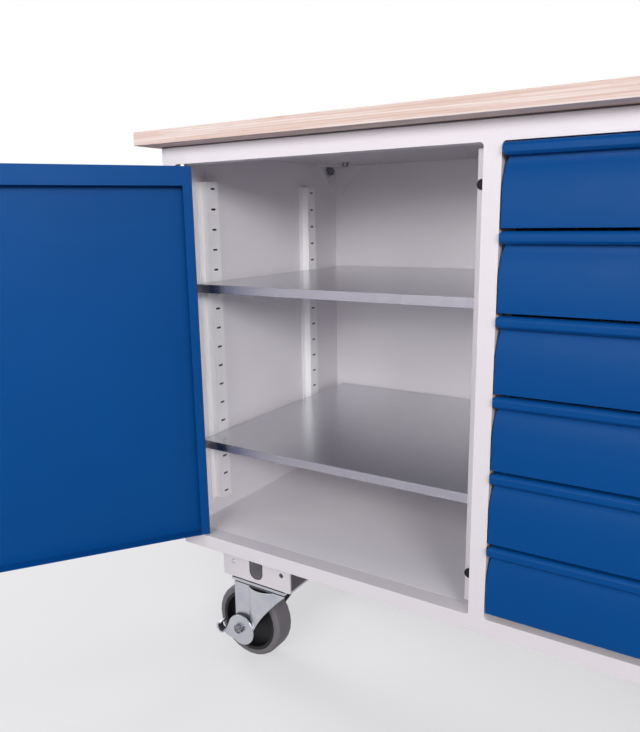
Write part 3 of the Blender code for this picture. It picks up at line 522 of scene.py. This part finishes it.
def pan_screw():
    """The head of a zinc-plated screw, 8.4 mm across: a low dome with a socket."""
    head_radius = 0.0042
    head_height = 0.0024
    head_sunk = 0.0001
    dome_radius = 0.0014
    socket_rim = 0.0012
    socket_depth = 0.0012
    top_slope = 0.9
    dome_top_slope = 0.99
    bpy.ops.object.select_all(action="DESELECT")
    bpy.ops.mesh.primitive_cylinder_add(vertices=32, radius=head_radius, depth=head_height,
                                        location=(0, 0, head_height / 2 - head_sunk))
    head = bpy.context.object
    bpy.ops.object.transform_apply(location=True, rotation=True, scale=True)
    bpy.ops.object.mode_set(mode="EDIT")
    bpy.ops.mesh.select_mode(type="FACE")
    pick(head, "faces", lambda face: face.normal.z > top_slope)
    bpy.ops.mesh.bevel(offset=dome_radius, segments=4)
    pick(head, "faces", lambda face: face.normal.z > dome_top_slope)
    bpy.ops.mesh.inset(thickness=socket_rim)
    bpy.ops.mesh.extrude_region_move(TRANSFORM_OT_translate={"value": (0, 0, -socket_depth)})
    bpy.ops.object.mode_set(mode="OBJECT")
    bpy.ops.object.shade_smooth_by_angle(angle=math.radians(40))
    head.data.materials.append(zinc)
    return head


screw = pan_screw()
# the spare hole and the screw are so far from the bracket's middle, and so far above its foot
spare_across = 0.0488
screw_across = 0.0440
spare_up = 0.0264
spare_radius = 0.0038
drill_length = 0.020
# further than this from the channel's outer faces, ends and foot is its inside, or the wall of a hole
from_face = 0.0008
from_end = 0.002
from_foot = 0.0025
for end, out in (("front", -1), ("rear", 1)):
    for side, inward in (("left", 1), ("right", -1)):
        low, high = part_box(f"castor_bracket_{end}_{side}")
        middle = (low[0] + high[0]) / 2
        outer_wall = low[1] if out < 0 else high[1]
        spare_height = low[2] + spare_up
        bpy.ops.object.select_all(action="DESELECT")
        bpy.ops.mesh.primitive_cylinder_add(
            vertices=24, radius=spare_radius, depth=drill_length, rotation=(math.pi / 2, 0, 0),
            location=(middle + inward * spare_across, outer_wall, spare_height))
        drill = bpy.context.object
        bracket = eased(f"castor_bracket_{end}_{side}", front_shaded_coat, radius=0.0009,
                        drills=[drill])
        # painted shade: the channel's inside and the wall of the spare hole take the dark coat, for the
        # shade in them
        bracket.data.materials.append(painted_shade_coat)
        for face in bracket.data.polygons:
            x, y, z = face.center
            within = (low[0] + from_end < x < high[0] - from_end
                      and low[1] + from_face < y < high[1] - from_face and z > low[2] + from_foot)
            face.material_index = 1 if within else 0
        seated(screw, f"bracket_screw_{end}_{side}",
               (middle - inward * screw_across, outer_wall, spare_height), (0, out, 0))
bpy.data.objects.remove(screw)


# Castors: two swivel ones with a wheel brake at the left and two fixed ones at the right.
# Forks, plates, axle bolts and levers are pressed steel with zinc plating; the wheels have black hubs
# and solid grey tyres.

def darkened(piece, test):
    """Gives a castor's faces, picked by their middle and normal, the black rubber as painted shade."""
    piece.data.materials.append(black_rubber)
    for face in piece.data.polygons:
        face.material_index = 1 if test(face.center, face.normal) else 0


def round_from(centre, point):
    """The angle of a point round a centre, in degrees from 0 to 360, as seen from the front."""
    return math.degrees(math.atan2(point.z - centre.z, point.x - centre.x)) % 360


def foot_lever():
    """The front castor's brake lever, pressed from one sheet: a disc on the axle, a neck that narrows
    in a hollow curve and a foot rest curled up at its end."""
    sheet = 0.0025
    solid_radius = 0.0215
    disc_radius = 0.0255
    # the neck leaves the disc between these angles
    neck_start, neck_end = 163, 238
    # after each pull the neck's end is so far left of the axle, with its top and its foot so far below
    neck_pulls = ((0.0265, 0.0055, 0.0230), (0.031, 0.0125, 0.0210), (0.0355, 0.0155, 0.0183))
    # the foot rest is wider than the neck is thick, from 6 mm in front of it to 5 mm behind it
    rest_radius = 0.0085
    rest_length = 0.0135
    # it curls between these angles
    rest_start, rest_end = 92, 285
    edge_radius = 0.0008
    edge_angle = math.radians(50)
    smooth_angle = math.radians(40)
    low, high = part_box("brake_lever_front_left")
    axle = Vector((high[0] - solid_radius, high[1] - sheet / 2, high[2] - solid_radius))
    disc = axle + Vector((0.0015, 0, -0.0040))
    rest = axle + Vector((-0.0355, 0, -0.0080))
    bpy.ops.object.select_all(action="DESELECT")
    bpy.ops.mesh.primitive_circle_add(vertices=64, radius=disc_radius, fill_type="NGON", location=disc,
                                      rotation=(math.pi / 2, 0, 0))
    lever = bpy.context.object
    lever.name = "foot_lever_front_left"
    bpy.ops.object.transform_apply(location=True, rotation=True, scale=True)
    bpy.ops.object.mode_set(mode="EDIT")
    bpy.ops.mesh.select_mode(type="EDGE")
    pick(lever, "edges", lambda edge: neck_start
         < round_from(disc, (edge.verts[0].co + edge.verts[1].co) / 2) < neck_end)
    for left, top, foot in neck_pulls:
        bpy.ops.mesh.extrude_region_move(TRANSFORM_OT_translate={"value": (0, 0, 0)})
        heights = [v.co.z for v in bmesh.from_edit_mesh(lever.data).verts if v.select]
        shrink = (foot - top) / (max(heights) - min(heights))
        still = (axle.z - top - shrink * max(heights)) / (1 - shrink)
        bpy.ops.transform.resize(value=(0, 1, shrink), center_override=(axle.x - left, axle.y, still))
    bpy.ops.mesh.select_all(action="DESELECT")
    bpy.ops.mesh.primitive_cylinder_add(
        vertices=48, radius=rest_radius, depth=rest_length, end_fill_type="NOTHING",
        location=(rest.x, low[1] + rest_length / 2, rest.z), rotation=(math.pi / 2, 0, 0))
    bpy.ops.mesh.select_mode(type="FACE")
    # only the new tube is selected, and what isn't curled of it goes
    work = bmesh.from_edit_mesh(lever.data)
    for face in work.faces:
        curled = rest_start < round_from(rest, face.calc_center_median()) < rest_end
        face.select_set(face.select and not curled)
    bmesh.update_edit_mesh(lever.data)
    bpy.ops.mesh.delete(type="FACE")
    bpy.ops.object.mode_set(mode="OBJECT")
    wall = lever.modifiers.new("sheet", "SOLIDIFY")
    wall.thickness = sheet
    wall.offset = 0
    bpy.ops.object.modifier_apply(modifier=wall.name)
    bpy.ops.object.mode_set(mode="EDIT")
    bpy.ops.mesh.select_mode(type="EDGE")
    bpy.ops.mesh.select_all(action="SELECT")
    bpy.ops.mesh.normals_make_consistent(inside=False)
    bpy.ops.mesh.select_all(action="DESELECT")
    bpy.ops.mesh.edges_select_sharp(sharpness=edge_angle)
    bpy.ops.mesh.bevel(offset=edge_radius, segments=3, clamp_overlap=True)
    bpy.ops.object.mode_set(mode="OBJECT")
    bpy.ops.object.shade_smooth_by_angle(angle=smooth_angle)
    lever.data.materials.append(zinc)
    return lever


# solid rubber that leaves no marks on the floor: mid grey and dull, a little lighter where it is rubbed
grey_rubber = moulded("grey_solid_rubber", "#6f6b70", "#7b777b", grit=0.002, roughness=0.6)
# painted shade: a band so high at the plate's top is black, for the shade under the bracket; the bright
# plate reaches so far below its top, and below that it is black as well, for the shade under it
shade_band_height = 0.0037
plate_reach = 0.0084
# painted shade: the crown's upward faces are black, for the shade in the gap under the plate and for grease
crown_depth = 0.0015
crown_slope = 0.7
for side in ("left", "right"):
    for end in ("front", "rear"):
        tag = f"{end}_{side}"
        fork = eased(f"castor_fork_{tag}", zinc, radius=0.0008, sharp=20)
        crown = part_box(f"castor_fork_{tag}")[1][2]
        eased(f"castor_axle_{tag}", bolt_steel, radius=0.0005)
        eased(f"hub_{tag}", black_nylon, radius=0.0006)
        eased(f"tyre_{tag}", grey_rubber, radius=0)
        if side == "left":
            plate = eased(f"castor_plate_{tag}", zinc, radius=0.0006)
            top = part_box(f"castor_plate_{tag}")[1][2]
            darkened(plate, lambda middle, normal: not top - plate_reach < middle.z < top - shade_band_height)
            darkened(fork, lambda middle, normal: middle.z > crown - crown_depth and normal.z > crown_slope)
        else:
            # painted shade: a fixed fork's top, as high as the band, is black for the shade under the
            # bracket
            darkened(fork, lambda middle, normal: middle.z > crown - shade_band_height)
front_lever = foot_lever()
rear_lever = bpy.data.objects.new("foot_lever_rear_left", front_lever.data.copy())
bpy.context.scene.collection.objects.link(rear_lever)
rear_lever.data.transform(Matrix.Translation(Vector(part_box("brake_lever_rear_left")[0])
                                             - Vector(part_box("brake_lever_front_left")[0])))
for end, lever in (("front", front_lever), ("rear", rear_lever)):
    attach(lever, f"brake_{end}_left")
    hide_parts(f"brake_lever_{end}_left")


# Studio: a pale floor that runs out to white, and soft lamps in front, most of them at the right, with
# a small one beside the open door, and others over the top, at the sides and at the back.

def seen_directly(tree):
    """1 for what the camera sees, itself or in metal and glass, and 0 for the light on dull surfaces."""
    path = add(tree, "LightPath").outputs
    seen = add(tree, "Math", {0: path["Is Camera Ray"], 1: path["Is Glossy Ray"]}, operation="MAXIMUM")
    return add(tree, "Math", {0: seen.outputs[0], 1: path["Is Transmission Ray"]},
               operation="MAXIMUM").outputs[0]


floor_size = 8
floor_z = solid_bounds[0][2]
# the floor turns white between these distances from the middle, and near it is lifted by a faint glow
white_from = 1.6
white_to = 3.2
near_glow = 0.5
full_white = (1, 1, 1, 1)
bpy.ops.object.select_all(action="DESELECT")
bpy.ops.mesh.primitive_plane_add(size=floor_size, location=(0, 0, floor_z))
floor = bpy.context.object
floor.name = "studio_floor"
bpy.ops.object.transform_apply(location=True, rotation=True, scale=True)
floor_paint, tree = blank("pale_floor")
where = add(tree, "TexCoord").outputs["Object"]
across = add(tree, "VectorMath", {0: where, 1: (1, 1, 0)}, operation="MULTIPLY").outputs[0]
away = add(tree, "VectorMath", {0: across}, operation="LENGTH").outputs["Value"]
far = add(tree, "MapRange", {"Value": away, "From Min": white_from, "From Max": white_to},
          interpolation_type="SMOOTHSTEP").outputs[0]
matt = add(tree, "BsdfDiffuse", {"Color": linear("#9b9a9e")}).outputs[0]
glow = add(tree, "Emission", {"Color": full_white, "Strength": near_glow}).outputs[0]
near = add(tree, "AddShader", {0: matt, 1: glow}).outputs[0]
white = add(tree, "Emission", {"Color": full_white, "Strength": 1}).outputs[0]
pale = add(tree, "MixShader", {0: far, 1: near, 2: white}).outputs[0]
whole = add(tree, "MixShader", {0: seen_directly(tree), 1: matt, 2: pale}).outputs[0]
add(tree, "OutputMaterial", {"Surface": whole})
floor.data.materials.append(floor_paint)

scene = bpy.context.scene
world = bpy.data.worlds.new("studio_air")
world.use_nodes = True
world.node_tree.nodes.clear()
air = world.node_tree
air_light = 0.03
soft = add(air, "Background", {"Color": linear("#fbf9fd"), "Strength": air_light}).outputs[0]
backdrop = add(air, "Background", {"Color": full_white, "Strength": 1}).outputs[0]
shown = add(air, "MixShader", {0: seen_directly(air), 1: soft, 2: backdrop}).outputs[0]
add(air, "OutputWorld", {"Surface": shown})
scene.world = world

# each lamp's power in watts, its width and height, its place and the point that it is aimed at
cupboard = (-0.25, 0, -0.3)
for name, power, size, place, aim in (
        ("key_lamp", 41.5, (0.9, 0.6), (2.0, -2.4, 0.6), cupboard),
        ("side_lamp", 5.5, (0.8, 0.5), (1.7, -1.2, 0.45), cupboard),
        ("near_lamp", 9.2, (0.9, 0.5), (-0.1, -1.88, 0.35), cupboard),
        ("front_lamp", 19.5, (1.8, 0.6), (0, -3.4, 0.35), cupboard),
        ("fill_lamp", 1.95, (0.4, 0.3), (-0.75, -1.0, 0.0), (-0.45, -0.2, -0.2)),
        ("top_lamp", 13, (1.6, 1.0), (-0.2, -0.2, 1.8), (-0.1, 0, 0)),
        ("left_lamp", 24, (1.2, 1.2), (-2.4, 0.4, 0.3), (-0.5, 0.1, -0.4)),
        ("right_lamp", 5, (1.2, 1.2), (2.4, 0.4, 0.3), (0.5, 0.1, -0.4)),
        ("back_lamp", 28, (1.6, 1.2), (0.0, 2.4, 0.3), (0, 0.2, -0.4))):
    lamp = bpy.data.lights.new(name, "AREA")
    lamp.shape = "RECTANGLE"
    lamp.size, lamp.size_y = size
    lamp.energy = power
    holder = bpy.data.objects.new(name, lamp)
    scene.collection.objects.link(holder)
    holder.visible_camera = False
    # the fill lamp only lifts the shade beside the door, and would show in the shelves' folded lips
    holder.visible_glossy = name != "fill_lamp"
    holder.location = place
    holder.rotation_euler = (Vector(aim) - Vector(place)).to_track_quat("-Z", "Y").to_euler()


# Camera: about 0.7 m in front of the drawers and a little lower than the worktop, looking down to the left.
# The picture is 640 pixels wide, and the lens is a normal one.
turn = math.radians(32.481)
dip = math.radians(12.245)
tilt = math.radians(-0.838)
camera_place = (0.24032, -0.9421, -0.11856)
picture_width = 640
# the picture is shifted by a few pixels against the lens's axis
shift_across, shift_up = -2.37, 2.23
ahead = Vector((-math.sin(turn) * math.cos(dip), math.cos(turn) * math.cos(dip), -math.sin(dip)))
sideways = Vector((math.cos(turn), math.sin(turn), 0))
upright = sideways.cross(ahead)
right = math.cos(tilt) * sideways + math.sin(tilt) * upright
up = math.cos(tilt) * upright - math.sin(tilt) * sideways
lens = bpy.data.cameras.new("camera")
lens.sensor_fit = "HORIZONTAL"
lens.sensor_width = 36
lens.lens = 38.687
lens.shift_x = shift_across / picture_width
lens.shift_y = shift_up / picture_width
lens.clip_start = 0.01
camera = bpy.data.objects.new("camera", lens)
scene.collection.objects.link(camera)
facing = Matrix((right, up, -ahead)).transposed().to_4x4()
camera.matrix_world = Matrix.Translation(camera_place) @ facing
scene.camera = camera
scene.view_settings.view_transform = "Standard"
